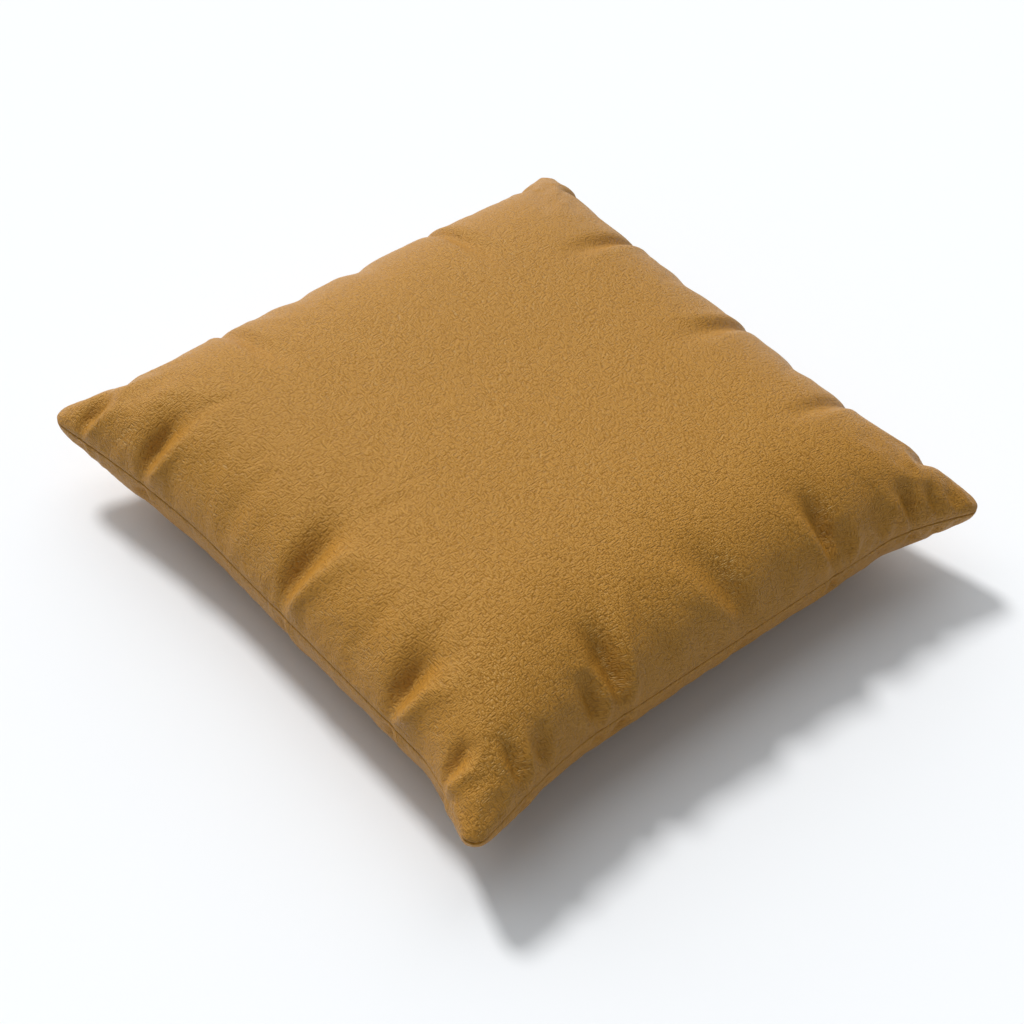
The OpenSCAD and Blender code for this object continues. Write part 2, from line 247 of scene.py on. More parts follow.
def pileCloth():
    # short pile brushed flat: a soft yellow painted highlight on its raised strokes and painted shade
    # deepening the colour in its creases
    paint = Paint("pileCloth", Roughness=0.45)
    gloss = {"Specular IOR Level": 0.4, "Specular Tint": (0.9, 1.0, 0.6, 1), "Sheen Weight": 0.02,
             "Sheen Roughness": 0.4, "Sheen Tint": (1.0, 0.72, 0.30, 1)}
    for key, value in gloss.items():
        paint.surface.inputs[key].default_value = value
    place = paint.place("clothPlace")
    upDown = tufts(paint, place, pile["thread"], pile["stroke"])
    sideways = tufts(paint, place, pile["stroke"], pile["thread"])
    patch = paint.between(paint.grain(place, (1 / pile["patch"],) * 3, 1.0), 0.46, 0.54)
    woven = paint.choose(patch, upDown, sideways)
    fuzz = paint.grain(place, (1 / pile["fuzz"],) * 3, 2.0, 0.7)
    height = woven * 0.72 + fuzz * 0.28
    # colour by the strokes' height: painted shade in the creases and a painted highlight on the raised tips
    stops = [(0.15, pile["deep"]), (0.62, pile["middle"]), (1.0, pile["light"])]
    paintedShadeAndHighlight = paint.node("ShaderNodeValToRGB", dict(stops=stops), [height])
    dye = paint.grain(place, (1 / 0.06,) * 3, 3.0)  # slow change of the dye
    brushed = paint.blend(dye, (0.395, 0.170, 0.0195, 1), (0.435, 0.192, 0.0240, 1))
    # the dye's slow change, mixed by the contrast share with the painted shade and highlight of the strokes
    paint.feed("Base Color", paint.blend(pile["contrast"], brushed, paintedShadeAndHighlight))
    nap = paint.grain(place, (1 / 0.035, 1 / 0.05, 1), 2.0)  # where a hand has turned the pile
    paint.feed("Roughness", 0.34 + 0.10 * paint.between(height, 0.3, 0.9) + 0.06 * nap)
    paint.raiseBy(height, pile["lift"], 0.9)
    return paint


def plainCloth(name, low, high, thread, roughness, lift):
    # a plain weave: two rows of ridges at right angles, over and under each other
    paint = Paint(name, Roughness=roughness)
    paint.surface.inputs["Specular IOR Level"].default_value = 0.2
    place = paint.place("clothPlace")
    settings = dict(wave_type="BANDS", bands_direction="X", wave_profile="SIN")
    values = dict(Vector=place, Scale=0.31 / thread, Distortion=0.6, Detail=1.0)
    warp = paint.node("ShaderNodeTexWave", settings, values, output="Fac")
    weft = paint.node("ShaderNodeTexWave", dict(settings, bands_direction="Y"), values, output="Fac")
    slub = paint.grain(place, (1 / (thread * 14), 1 / (thread * 3), 1), 2.0)
    height = warp * weft * 0.7 + slub * 0.3
    paint.feed("Base Color", paint.blend(paint.between(height, 0.1, 0.7), low, high))
    paint.feed("Roughness", roughness - 0.1 * slub)
    paint.raiseBy(height, lift, 0.6)
    return paint


def spunThread(name, low, high):
    # plies that wind round the thread, with loose fibre
    paint = Paint(name, Roughness=0.7)
    paint.surface.inputs["Sheen Weight"].default_value = 0.2
    place = paint.place()
    settings = dict(wave_type="BANDS", bands_direction="DIAGONAL", wave_profile="SIN")
    values = dict(Vector=place, Scale=900.0, Distortion=1.5, Detail=1.0)
    ply = paint.node("ShaderNodeTexWave", settings, values, output="Fac")
    fibre = paint.grain(place, (4000, 4000, 4000), 2.0)
    paint.feed("Base Color", paint.blend(ply * 0.6 + fibre * 0.4, low, high))
    paint.feed("Roughness", 0.62 + 0.2 * fibre)
    paint.raiseBy(ply, 0.00008, 0.5)
    return paint


def tapeWeave():
    paint = Paint("zipTape", Roughness=0.72)
    place = paint.place()
    settings = dict(wave_type="BANDS", bands_direction="X", wave_profile="SIN")
    across = dict(Vector=place, Scale=420.0, Distortion=0.4, Detail=1.0)
    along = dict(Vector=place, Scale=260.0, Distortion=0.3, Detail=1.0)
    rib = paint.node("ShaderNodeTexWave", settings, across, output="Fac")
    cord = paint.node("ShaderNodeTexWave", dict(settings, bands_direction="Y"), along, output="Fac")
    height = rib * 0.6 + cord * 0.4
    paint.feed("Base Color", paint.blend(height, (0.25, 0.125, 0.028, 1), (0.44, 0.235, 0.06, 1)))
    paint.feed("Roughness", 0.62 + 0.2 * cord)
    paint.raiseBy(height, 0.00012, 0.6)
    return paint


def mouldedNylon():
    paint = Paint("zipNylon", Roughness=0.4)
    place = paint.place()
    haze = paint.grain(place, (900, 900, 900), 3.0)
    paint.feed("Base Color", paint.blend(haze, (0.30, 0.155, 0.035, 1), (0.40, 0.215, 0.055, 1)))
    paint.feed("Roughness", 0.32 + 0.2 * haze)
    paint.raiseBy(haze, 0.00003, 0.4)
    return paint


def zipMetal():
    # die-cast zinc under a thin gold-brown lacquer, rubbed bright in places
    paint = Paint("zipMetal", Metallic=1.0)
    place = paint.place()
    rub = paint.between(paint.grain(place, (240, 240, 240), 3.0, 0.5), 0.4, 0.75)
    scratch = paint.grain(place, (300, 6000, 6000), 2.0)
    paint.feed("Base Color", paint.blend(rub, (0.50, 0.35, 0.15, 1), (0.66, 0.51, 0.28, 1)))
    paint.feed("Roughness", 0.36 - 0.12 * rub + 0.14 * scratch)
    paint.raiseBy(scratch, 0.00002, 0.35)
    return paint


def labelSatin():
    paint = Paint("labelSatin", Roughness=0.42)
    paint.surface.inputs["Sheen Weight"].default_value = 0.15
    place = paint.place("clothPlace")
    settings = dict(wave_type="BANDS", bands_direction="Y", wave_profile="SIN")
    values = dict(Vector=place, Scale=700.0, Distortion=0.3, Detail=1.0)
    line = paint.node("ShaderNodeTexWave", settings, values, output="Fac")
    soil = paint.grain(place, (120, 120, 120), 3.0)
    paint.feed("Base Color", paint.blend(soil, (0.80, 0.78, 0.72, 1), (0.88, 0.87, 0.83, 1)))
    paint.feed("Roughness", 0.36 + 0.18 * line)
    paint.raiseBy(line, 0.00006, 0.4)
    return paint


def looseFibre():
    paint = Paint("looseFibre", Roughness=0.9)
    paint.surface.inputs["Sheen Weight"].default_value = 0.5
    place = paint.place()
    strand = paint.grain(place, (900, 900, 140), 4.0, 0.7)
    clump = paint.grain(place, (60, 60, 60), 3.0)
    height = strand * 0.5 + clump * 0.5
    paint.feed("Base Color", paint.blend(height, (0.84, 0.84, 0.83, 1), (0.95, 0.95, 0.94, 1)))
    paint.feed("Roughness", 0.82 + 0.14 * strand)
    paint.raiseBy(height, 0.0012, 0.7)
    return paint


def studioFloor():
    paint = Paint("studioFloor", Roughness=0.9)
    paint.surface.inputs["Base Color"].default_value = (*studio["floor"], 1)
    paint.surface.inputs["Specular IOR Level"].default_value = 0.1
    return paint


coverPaint = pileCloth()
insertPaint = plainCloth("insertCloth", low=(0.70, 0.69, 0.65, 1), high=(0.86, 0.85, 0.82, 1), thread=0.0007,
                         roughness=0.82, lift=0.0002)
coverThreadPaint = spunThread("coverThread", (0.34, 0.18, 0.045, 1), (0.52, 0.30, 0.085, 1))
insertThreadPaint = spunThread("insertThread", (0.78, 0.77, 0.74, 1), (0.93, 0.92, 0.90, 1))
tapePaint = tapeWeave()
nylonPaint = mouldedNylon()
metalPaint = zipMetal()
labelPaint = labelSatin()
fibrePaint = looseFibre()
floorPaint = studioFloor()
print("materials are made")

# ---- the cushion's form ----

# crown and base: the panels above and below the seam. tip: the rounding of a corner. lip, chamber and zip:
# how the seam parts over the zip. uneven: the shallow lumps of the filling under the cloth
form = dict(
    cells=150, crownRise=cadHigh.z - seamZ, crownPower=6.2, crownBlunt=0.56, crownDome=0.09,
    baseDepth=seamZ + 0.004, basePower=4, baseBlunt=0.4, pinch=0.3, earCurve=1.5, tipWidth=0.0088,
    tipTrim=0.0035, tipPower=36, droop=0.001, inset=halfSide - halfMiddle, fold=0.0013, hair=0.0001,
    lipGap=0.0008, back=0.0022, chamber=0.0033, zipHalf=0.76, zipFade=0.06, restSoftness=0.0035,
    allowance=0.012, clothHalf=0.2285, thickness=0.0011, unevenDepth=0.0009, unevenSize=0.085,
    unevenFrom=0.02)

# How far each side's seam curves in from the tips at its two ends
ears = dict(left=(0.070, 0.155), front=(0.109, 0.078), right=(0.098, 0.098), rear=(0.066, 0.066))


def pucker(side, at, reach, depth, width, lean=0.0, ridge=-0.5, below=0.3):
    # A hollow that starts narrow at a seam, widens up the crown and fades. at: metres from the middle
    # of its side. reach: how far up the crown it ends. lean: how far it slants for each metre. ridge:
    # the fold beside it, on the + or - side. below: the share of its reach that it has on the lower panel
    return dict(side=side, at=at, reach=reach, depth=depth, width=width, lean=lean, ridge=ridge, below=below)


puckers = [
    pucker("left", 0.189, 0.046, 0.0072, 0.0072, ridge=-0.5),
    pucker("left", 0.130, 0.072, 0.0098, 0.0094, ridge=-0.45),
    pucker("left", 0.050, 0.060, 0.0016, 0.0120, ridge=-0.3),
    pucker("left", -0.013, 0.088, 0.0104, 0.0102, ridge=-0.45),
    pucker("left", -0.075, 0.050, 0.0014, 0.0100, ridge=0.3),
    pucker("left", -0.121, 0.072, 0.0104, 0.0096, ridge=-0.5),
    pucker("left", -0.178, 0.044, 0.0066, 0.0062, ridge=-0.7),
    pucker("front", -0.173, 0.050, 0.0060, 0.0055, ridge=0.8),
    pucker("front", -0.152, 0.036, 0.0052, 0.0050, ridge=-0.5),
    pucker("front", -0.108, 0.050, 0.0072, 0.0062, ridge=0.5),
    pucker("front", -0.088, 0.080, 0.0112, 0.0084, ridge=0.35),
    pucker("front", -0.050, 0.060, 0.0016, 0.0110, ridge=0.4),
    pucker("front", 0.018, 0.088, 0.0066, 0.0120, lean=-0.20, ridge=-0.4),
    pucker("front", 0.050, 0.050, 0.0018, 0.0090, ridge=0.4),
    pucker("front", 0.094, 0.078, 0.0112, 0.0084, ridge=-0.5),
    pucker("front", 0.106, 0.042, 0.0040, 0.0055, ridge=0.8),
    pucker("front", 0.138, 0.040, 0.0028, 0.0065, ridge=0.6),
    pucker("front", 0.164, 0.044, 0.0066, 0.0058, ridge=-0.8),
    pucker("front", 0.183, 0.034, 0.0038, 0.0046, ridge=-0.7),
    pucker("front", 0.198, 0.024, 0.0024, 0.0036, ridge=-0.6),
    pucker("right", 0.172, 0.044, 0.0046, 0.0060, ridge=0.6),
    pucker("right", 0.092, 0.125, 0.0048, 0.0062, ridge=-0.25),
    pucker("right", 0.036, 0.055, 0.0018, 0.0105, ridge=0.3),
    pucker("right", -0.020, 0.118, 0.0044, 0.0060, ridge=0.25),
    pucker("right", -0.070, 0.055, 0.0020, 0.0095, ridge=0.3),
    pucker("right", -0.116, 0.115, 0.0040, 0.0058, ridge=-0.25),
    pucker("right", -0.176, 0.046, 0.0050, 0.0062, ridge=0.6),
    pucker("rear", -0.176, 0.042, 0.0036, 0.0064, ridge=0.6),
    pucker("rear", -0.103, 0.130, 0.0044, 0.0070, ridge=-0.2),
    pucker("rear", -0.040, 0.060, 0.0016, 0.0120, ridge=0.3),
    pucker("rear", 0.012, 0.070, 0.0022, 0.0110, ridge=-0.3),
    pucker("rear", 0.076, 0.135, 0.0048, 0.0066, ridge=0.2),
    pucker("rear", 0.172, 0.046, 0.0042, 0.0062, ridge=-0.6),
]


def smooth(x):
    x = np.clip(x, 0, 1)
    return x * x * (3 - 2 * x)


def settled(along, side):
    ear = np.where(along < 0, *ears[side])
    fromTip = halfSide - np.abs(along) - form["tipWidth"]
    return 1 - (1 - np.clip(fromTip / (ear - form["tipWidth"]), 0, 1)) ** form["earCurve"]


def raised(along, side):
    # 0 at a drooping tip and 1 along the rest of the side
    ear = np.where(along < 0, *ears[side])
    return smooth((halfSide - np.abs(along)) / (0.8 * ear))


def crossed(first, second):
    # two domes at right angles, pinched a little towards the corners
    first, second = np.maximum(first, 1e-6), np.maximum(second, 1e-6)
    full = 1 / np.sqrt(first ** -2 + second ** -2 - 1)
    return np.maximum(0, first * second - form["pinch"] * (full - first * second))


def dome(a, power, blunt):
    return np.maximum(0, 1 - np.abs(a) ** power) ** blunt


def profile(up):
    if up > 0:
        return form["crownPower"], form["crownBlunt"], form["crownRise"]
    return form["basePower"], form["baseBlunt"], form["baseDepth"]


def spacing(up):
    # plan places of the grid's lines, spread evenly along the cloth at each height of its profile
    power, blunt, rise = profile(up)
    steps = np.linspace(-1, 1, form["cells"] + 1)
    fine = 1 - (1 - np.linspace(0, 1, 1500)) ** 3  # closer together towards the seam
    plan = halfMiddle * fine

    def even(scale):
        height = rise * scale * dome(fine, power, blunt)
        length = np.concatenate([[0], np.cumsum(np.hypot(np.diff(plan), np.diff(height)))])
        return np.interp(np.abs(steps), length / length[-1], fine) * np.sign(steps)

    middle = even(1.0)
    return np.array([even(dome(other, power, blunt)) for other in middle])


def zipShare(u, v):
    # 1 over the zip's stretch of the rear side and 0 elsewhere
    ends = smooth((form["zipHalf"] - np.abs(u)) / form["zipFade"])
    return ends * smooth((v - 0.6) / 0.3)


def baseForm(up):
    # the panel's points, and the height of the seam plane and the share of the zip below each
    u = spacing(up)
    v = u.T.copy()
    half, inset = halfSide, form["inset"]
    across, along = u * half, v * half
    x = u * (half - inset * np.where(u < 0, settled(along, "left"), settled(along, "right")))
    y = v * (half - inset * np.where(v < 0, settled(across, "front"), settled(across, "rear")))
    tip = form["tipTrim"] * (np.abs(u) * np.abs(v)) ** form["tipPower"]
    x -= np.sign(u) * tip
    y -= np.sign(v) * tip
    sideDrop = 1 - np.where(u < 0, raised(along, "left"), raised(along, "right"))
    endDrop = 1 - np.where(v < 0, raised(across, "front"), raised(across, "rear"))
    seam = seamZ - form["droop"] * sideDrop * endDrop
    power, blunt, rise = profile(up)
    swell = crossed(dome(u, power, blunt), dome(v, power, blunt))
    if up > 0:
        swell = (1 - form["crownDome"]) * swell + form["crownDome"] * (1 - u ** 2) * (1 - v ** 2)
    zipped = zipShare(u, v)
    foot = form["fold"] + form["hair"] + zipped * (form["lipGap"] - form["hair"])
    z = seam + up * (foot + (rise - foot) * swell)
    return np.stack([x, y, z], axis=-1), seam, zipped


def gridNormals(points, up):
    across = np.gradient(points, axis=1)
    along = np.gradient(points, axis=0)
    normal = np.cross(across, along) * up
    return normal / np.maximum(np.linalg.norm(normal, axis=-1, keepdims=True), 1e-12)


def seamNormals(points, normal):
    # at the seam both panels move the same way: level, and out from the cushion
    for edge in (np.s_[0, :], np.s_[-1, :], np.s_[:, 0], np.s_[:, -1]):
        flat = normal[edge].copy()
        flat[:, 2] = 0
        short = np.linalg.norm(flat, axis=1, keepdims=True)
        normal[edge] = flat / np.maximum(short, 1e-9)
    return normal


def fromSeam():
    # each grid point's distance to the seam on the flat cloth, by side
    steps = np.linspace(0, 2 * form["clothHalf"], form["cells"] + 1)
    flat = np.ones((form["cells"] + 1,) * 2)
    return dict(left=steps[None, :] * flat, right=steps[::-1][None, :] * flat, front=steps[:, None] * flat,
                rear=steps[::-1][:, None] * flat)


# narrow, atSeam: the hollow's width and depth at the seam, as shares. widens: what its width gains by its
# end. opens, closes: how soon it reaches its depth and how soon it ends. fold: the ridge beside it
hollowShape = dict(narrow=0.42, widens=0.95, atSeam=0.06, opens=0.42, closes=0.5, foldPlace=1.75,
                   foldAtSeam=0.04, foldOpens=0.25)


def puckerMove(points, up):
    # how far each point moves out from the form: into the hollows is negative
    shape = hollowShape
    moved = np.zeros(points.shape[:2])
    inwardBySide = fromSeam()
    for p in puckers:
        inward = inwardBySide[p["side"]]
        along = points[..., 1] if p["side"] in ("left", "right") else points[..., 0]
        share = 1 if up > 0 else p["below"]
        far = inward / (p["reach"] * share)
        across = along - p["at"] - p["lean"] * inward
        width = p["width"] * (shape["narrow"] + shape["widens"] * np.minimum(far, 1) * share)
        opened = shape["atSeam"] + (1 - shape["atSeam"]) * smooth(far / shape["opens"])
        hollow = np.exp(-(across / width) ** 2) * opened * smooth((1 - far) / shape["closes"])
        beside = (across - np.sign(p["ridge"]) * shape["foldPlace"] * width) / width
        lifted = shape["foldAtSeam"] + (1 - shape["foldAtSeam"]) * smooth(far / shape["foldOpens"])
        fold = abs(p["ridge"]) * np.exp(-beside ** 2) * lifted * smooth(1 - far)
        moved += p["depth"] * share ** 0.5 * (fold - hollow)
    return moved


def lumps(points, size, seed):
    flat = points.reshape(-1, 3) / size + seed
    return np.array([noise.noise(Vector(p)) for p in flat]).reshape(points.shape[:2])


def rested(points, low):
    # what lies on the surface is flat there, with a soft turn up to the side
    soft = form["restSoftness"]
    height = (points[..., 2] - low) / soft
    points[..., 2] = low + np.maximum(soft * (np.log1p(np.exp(np.clip(height, -30, 30))) - 0.02), 0)
    return points


def panelForm(up):
    points, seam, zipped = baseForm(up)
    normal = seamNormals(points, gridNormals(points, up))
    nearest = np.minimum.reduce(list(fromSeam().values()))
    away = smooth(nearest / form["unevenFrom"])
    uneven = away * form["unevenDepth"] * lumps(points, form["unevenSize"], 3.1)
    move = puckerMove(points, up) + uneven
    return points + normal * move[..., None], seam, zipped


# ---- mesh builders ----


def newPiece(name, points, faces, paint, smoothed=True, cloth=None):
    mesh = bpy.data.meshes.new(name)
    mesh.from_pydata([tuple(p) for p in points], [], faces)
    mesh.validate()
    if smoothed:
        mesh.shade_smooth()
    if cloth is not None:
        attribute = mesh.attributes.new("clothPlace", "FLOAT_VECTOR", "POINT")
        attribute.data.foreach_set("vector", np.asarray(cloth, np.float32).ravel())
    piece = bpy.data.objects.new(name, mesh)
    bpy.context.collection.objects.link(piece)
    shade(piece, paint)
    return piece


def finishPiece(piece, body, nodes):
    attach(piece, body)
    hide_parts(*nodes)


def gridFaces(rows, columns, flip=False):
    faces = []
    for row in range(rows - 1):
        for column in range(columns - 1):
            a = row * columns + column
            quad = [a, a + 1, a + columns + 1, a + columns]
            faces.append(quad[::-1] if flip else quad)
    return faces


def loopOf(count):
    # places round the edge of a square grid, anticlockwise from its first corner
    last = count - 1
    front = [(0, i) for i in range(last)]
    right = [(i, last) for i in range(last)]
    rear = [(last, last - i) for i in range(last)]
    left = [(last - i, 0) for i in range(last)]
    return front + right + rear + left


def panelPiece(name, grid, up, seam, rings, paint, thickness):
    # a grid of cloth with its edge rolled in and carried on as the seam allowance. A ring is (how far in
    # from the seam, height from the seam plane) for each point of the edge
    count = grid.shape[0]
    points = grid.reshape(-1, 3).tolist()
    steps = np.linspace(-form["clothHalf"], form["clothHalf"], count)
    cloth = [(x, y, up * 0.1) for y in steps for x in steps]
    faces = gridFaces(count, count, up < 0)
    loop = loopOf(count)
    previous = [row * count + column for row, column in loop]
    size = len(loop)
    edge = np.array([grid[place] for place in loop])
    clothEdge = np.array([(steps[column], steps[row]) for row, column in loop])
    for inward, height in rings:
        start = len(points)
        scale = 1 - inward / halfMiddle
        spread = 1 + np.maximum(inward, 0.0005) / form["clothHalf"]
        for i in range(size):
            points.append((edge[i, 0] * scale[i], edge[i, 1] * scale[i], seam[loop[i]] + up * height[i]))
            cloth.append((clothEdge[i, 0] * spread[i], clothEdge[i, 1] * spread[i], up * 0.1))
        for i in range(size):
            j = (i + 1) % size
            quad = [previous[i], start + i, start + j, previous[j]]
            faces.append(quad if up > 0 else quad[::-1])
        previous = [start + i for i in range(size)]
    piece = newPiece(name, points, faces, paint, cloth=cloth)
    finer = piece.modifiers.new("finer", "SUBSURF")
    finer.levels = finer.render_levels = 1
    thick = piece.modifiers.new("clothThickness", "SOLIDIFY")
    thick.thickness = thickness
    thick.offset = -1
    return piece


def edgeRings(fold, lip, shelf, back, width):
    # the rolled edge, a step up over the zip where there is one, then the flat allowance
    stepped = back * 1.15
    rings = []
    for turn in (30, 60, 90):
        angle = math.radians(turn)
        rings.append((fold * (1 - math.cos(angle)), fold * (1 - math.sin(angle)) + lip))
    rings += [(back, lip), (stepped, shelf), ((stepped + width) / 2, shelf), (width, shelf)]
    return [(np.full_like(lip, inward), height) for inward, height in rings]


# ---- the cloth, blown out by its filling ----

swelling = dict(frames=20, quality=5, pressure=4.0, grow=0.022, stiffness=20.0, shear=6.0, bending=0.15,
                broad=0.2, blur=8, cap=0.003)


def blurred(field, passes):
    for _ in range(passes):
        for axis in (0, 1):
            rolled = np.concatenate([field.take([0], axis), field, field.take([-1], axis)], axis)
            last = rolled.shape[axis]
            field = sum(rolled.take(range(k, last - 2 + k), axis) for k in range(3)) / 3
    return field


def swollen(grid, up):
    # the panel is cut a little larger than its form and held along its seam, so pressure puckers it. Its
    # fine folds are kept whole and its broad swelling in part, and no point travels past the cap
    count = grid.shape[0]
    trial = newPiece("clothTrial", grid.reshape(-1, 3), gridFaces(count, count, up < 0), coverPaint)
    held = trial.vertex_groups.new(name="held")
    held.add([row * count + column for row, column in loopOf(count)], 1.0, "REPLACE")
    sewn = trial.modifiers.new("cloth", "CLOTH")
    cloth = sewn.settings
    cloth.quality = swelling["quality"]
    cloth.vertex_group_mass = "held"
    cloth.tension_stiffness = cloth.compression_stiffness = swelling["stiffness"]
    cloth.shear_stiffness = swelling["shear"]
    cloth.bending_stiffness = swelling["bending"]
    cloth.use_pressure = True
    cloth.uniform_pressure_force = swelling["pressure"]
    cloth.shrink_min = -swelling["grow"]
    cloth.effector_weights.gravity = 0
    sewn.collision_settings.use_collision = False
    sewn.point_cache.frame_start = 1
    sewn.point_cache.frame_end = swelling["frames"]
    for frameNumber in range(1, swelling["frames"] + 1):
        bpy.context.scene.frame_set(frameNumber)
    blown = trial.evaluated_get(bpy.context.evaluated_depsgraph_get()).to_mesh()
    flat = np.empty(count * count * 3, np.float32)
    blown.vertices.foreach_get("co", flat)
    travel = flat.reshape(grid.shape).astype(float) - grid
    bpy.context.scene.frame_set(1)
    bpy.data.objects.remove(trial)
    broad = blurred(travel, swelling["blur"])
    kept = travel - (1 - swelling["broad"]) * broad
    for place in loopOf(count):
        kept[place] = 0
    length = np.linalg.norm(kept, axis=-1, keepdims=True)
    return grid + kept / (1 + length / swelling["cap"])


# ---- build the cover ----

cushion, seamHeight, zipped = {}, {}, {}
for up in (1, -1):
    cushion[up], seamHeight[up], zipped[up] = panelForm(up)
    cushion[up] = swollen(cushion[up], up)
    if up < 0:
        cushion[up] = rested(cushion[up], 0.0)
print("the cover's cloth is swollen")

loop = loopOf(form["cells"] + 1)
loopPoints = np.array([cushion[1][place] for place in loop])
loopSeam = np.array([seamHeight[1][place] for place in loop])
loopZip = np.array([zipped[1][place] for place in loop])
lip = form["hair"] + loopZip * (form["lipGap"] - form["hair"])
shelf = form["hair"] + loopZip * (form["chamber"] - form["hair"])
coverRings = edgeRings(form["fold"], lip, shelf, form["back"], form["allowance"])
for up, name, node in ((1, "topPanel", "top_panel"), (-1, "bottomPanel", "bottom_panel")):
    panel = panelPiece(name, cushion[up], up, seamHeight[1], coverRings, coverPaint, form["thickness"])
    finishPiece(panel, "cover", [node])
print("the cover's panels are built")

# ---- threads ----


def sweep(path, radius, sides=6):
    # a round thread along a path, its section carried along without twisting
    path = np.asarray(path, float)
    along = np.gradient(path, axis=0)
    along /= np.maximum(np.linalg.norm(along, axis=1, keepdims=True), 1e-12)
    across = np.cross(along[0], (0.3, 0.1, 1.0))
    points, faces = [], []
    for i in range(len(path)):
        across = across - along[i] * np.dot(across, along[i])
        across /= np.linalg.norm(across)
        upward = np.cross(along[i], across)
        for k in range(sides):
            angle = 2 * math.pi * k / sides
            points.append(path[i] + radius * (math.cos(angle) * across + math.sin(angle) * upward))
    for i in range(len(path) - 1):
        for k in range(sides):
            a, b = i * sides + k, i * sides + (k + 1) % sides
            faces.append([a, b, b + sides, a + sides])
    faces.append(list(range(sides))[::-1])
    faces.append([(len(path) - 1) * sides + k for k in range(sides)])
    return points, faces


def threadPiece(name, paths, radius, paint, node, sides=6):
    points, faces = [], []
    for path in paths:
        morePoints, moreFaces = sweep(path, radius, sides)
        faces += [[i + len(points) for i in face] for face in moreFaces]
        points += morePoints
    piece = newPiece(name, points, faces, paint)
    finishPiece(piece, "cover", [node])
    return piece


def seamStretch(points, heights, side, low, high, inset):
    # the seam line along one side, from one share of the side to another, moved in by inset, and its length
    size = len(points) // 4
    order = ("front", "right", "rear", "left").index(side)
    places = [(order * size + i) % len(points) for i in range(size + 1)]
    run = np.column_stack([points[places, :2] * (1 - inset / halfMiddle), heights[places]])
    length = np.concatenate([[0], np.cumsum(np.linalg.norm(np.diff(run, axis=0), axis=1))])
    shares = length / length[-1]

    def at(share):
        share = low + (high - low) * np.asarray(share)
        return np.column_stack([np.interp(share, shares, run[:, k]) for k in range(3)])

    return at, length[-1] * (high - low)


def stitchLine(at, length, height, pitch, radius):
    # stitches that come up out of the cloth, lie along it and go back in. height is signed
    count = max(2, round(length / pitch))
    phase = np.linspace(0, count, count * 8 + 1)
    path = at(phase / count)
    over = np.abs(np.sin(math.pi * phase)) ** 0.4
    path[:, 2] += height + math.copysign(1, height) * radius * (1.5 * over - 1.1)
    return path


# ends: where the seam thread starts, as a share of a side. closedTo: where it stops beside the zip.
# above: the height of a stitch's middle over its cloth, as a share of its radius
stitch = dict(pitch=0.003, insertPitch=0.0026, radius=0.00025, inset=0.0034, ends=0.02, closedTo=0.115,
              above=0.7)
overlock = dict(pitch=0.0024, radius=0.00018, ends=0.055, reach=0.0016, inset=0.0012, clear=0.0001)
seamTop = form["hair"] + form["thickness"] + stitch["radius"] * stitch["above"]
wholeSide = [(stitch["ends"], 1 - stitch["ends"])]
besideZip = [(stitch["ends"], stitch["closedTo"]), (1 - stitch["closedTo"], 1 - stitch["ends"])]
for side, stretches in dict(front=wholeSide, right=wholeSide, left=wholeSide, rear=besideZip).items():
    paths = []
    for low, high in stretches:
        at, length = seamStretch(loopPoints, loopSeam, side, low, high, stitch["inset"])
        paths += [stitchLine(at, length, up * seamTop, stitch["pitch"], stitch["radius"]) for up in (1, -1)]
    threadPiece("seamThread" + side.capitalize(), paths, stitch["radius"], coverThreadPaint,
                "seam_thread_" + side)
print("the seams are sewn")


def overlockPath(at, length, middle, reach, high):
    # a thread that winds round a raw edge: across the top, round the edge and back underneath
    turns = round(length / overlock["pitch"])
    angle = np.linspace(0, 2 * math.pi * turns, turns * 14 + 1)
    path = at(angle / angle[-1])
    inwardStep = -path[:, :2] / halfMiddle
    swing = np.sign(np.cos(angle)) * np.abs(np.cos(angle)) ** 0.5
    path[:, :2] += inwardStep * (reach * swing)[:, None]
    path[:, 2] += middle + high * np.sign(np.sin(angle)) * np.abs(np.sin(angle)) ** 0.5
    return path


paths = []
for side in ("front", "right", "left"):
    edgeIn = form["allowance"] - overlock["inset"]
    at, length = seamStretch(loopPoints, loopSeam, side, overlock["ends"], 1 - overlock["ends"], edgeIn)
    bothCloths = form["hair"] + form["thickness"] + overlock["clear"]
    paths.append(overlockPath(at, length, 0.0, overlock["reach"], bothCloths))
threadPiece("overlockSides", paths, overlock["radius"], coverThreadPaint, "overlock_sides",
            5)
for up, name in ((1, "upper"), (-1, "lower")):
    edgeLow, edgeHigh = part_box("overlock_zip_" + name)
    middle = up * (form["chamber"] + form["thickness"] / 2)

    def alongZip(share):
        share = np.asarray(share)
        x = edgeLow.x + (edgeHigh.x - edgeLow.x) * share
        y = np.full_like(x, halfMiddle - form["allowance"] + overlock["inset"])
        return np.column_stack([x, y, np.full_like(x, seamZ)])

    oneCloth = form["thickness"] / 2 + overlock["clear"]
    path = overlockPath(alongZip, edgeHigh.x - edgeLow.x, middle, overlock["reach"], oneCloth)
    threadPiece("overlockZip" + name.capitalize(), [path], overlock["radius"], coverThreadPaint,
                "overlock_zip_" + name, 5)
    sewnLow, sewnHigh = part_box("zip_stitching_" + name)

    def alongTape(share):
        share = np.asarray(share)
        x = sewnLow.x + (sewnHigh.x - sewnLow.x) * share
        return np.column_stack([x, np.full_like(x, (sewnLow.y + sewnHigh.y) / 2), np.zeros_like(x)])

    paths = []
    radius = stitch["radius"]
    for height, facing in ((sewnHigh.z - radius, 1), (sewnLow.z + radius, -1)):
        path = stitchLine(alongTape, sewnHigh.x - sewnLow.x, facing * radius * 0.1, stitch["pitch"], radius)
        path[:, 2] += height
        paths.append(path)
    threadPiece("zipStitching" + name.capitalize(), paths, radius, coverThreadPaint,
                "zip_stitching_" + name)
print("the raw edges and the tapes are sewn")

# ---- the zip ----

